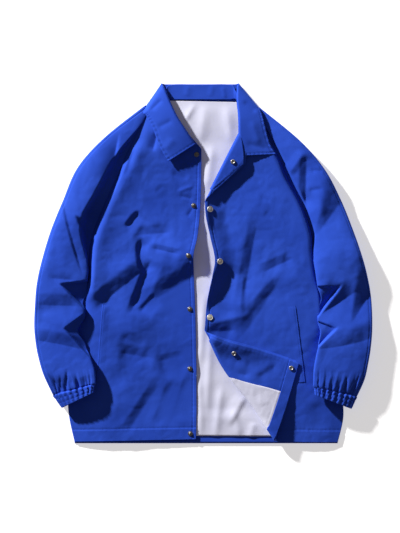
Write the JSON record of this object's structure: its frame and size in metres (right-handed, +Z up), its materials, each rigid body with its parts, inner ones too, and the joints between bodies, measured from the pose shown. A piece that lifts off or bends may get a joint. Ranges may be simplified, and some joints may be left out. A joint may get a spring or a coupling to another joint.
{
  "type": "work jacket laid flat",
  "caption": "Blue snap-front work jacket with raglan sleeves, fold-over collar, slanted pockets and gathered cuffs, laid on its back and open over its white lining.",
  "frame": {"origin": "centre of the jacket's outline, on the surface that it lies on", "axes": "+Y from hem to collar, +Z up out of the front, +X to the wearer's left side, as seen from above"},
  "size_m": [0.7062, 0.7554, 0.0383],
  "materials": {
    "shell_cloth": "smooth tight-woven royal blue shell, slight sheen",
    "lining_cloth": "thin white lining, soft sheen",
    "snap_metal": "worn silver snap metal"
  },
  "bodies": {
    "root": {"back": "shell_cloth", "back_hem": "shell_cloth", "front_right": "shell_cloth", "front_left": "shell_cloth", "lapel_facing": "shell_cloth", "corner_facing": "shell_cloth", "corner_hem": "shell_cloth", "sleeve_right_front": "shell_cloth", "sleeve_right_back": "shell_cloth", "sleeve_left_front": "shell_cloth", "sleeve_left_back": "shell_cloth", "cuff_right": "shell_cloth", "cuff_left": "shell_cloth", "collar_fall": "shell_cloth", "collar_stand": "shell_cloth", "pocket_welt_right": "shell_cloth", "pocket_welt_left": "shell_cloth", "back_lining": "lining_cloth", "corner_lining": "lining_cloth", "stud_1": "snap_metal", "stud_2": "snap_metal", "stud_3": "snap_metal", "stud_4": "snap_metal", "stud_5": "snap_metal", "stud_6": "snap_metal", "snap_1": "snap_metal", "snap_2": "snap_metal", "snap_3": "snap_metal", "snap_4": "snap_metal", "snap_5": "snap_metal", "snap_6": "snap_metal"}
  },
  "joints": []
}
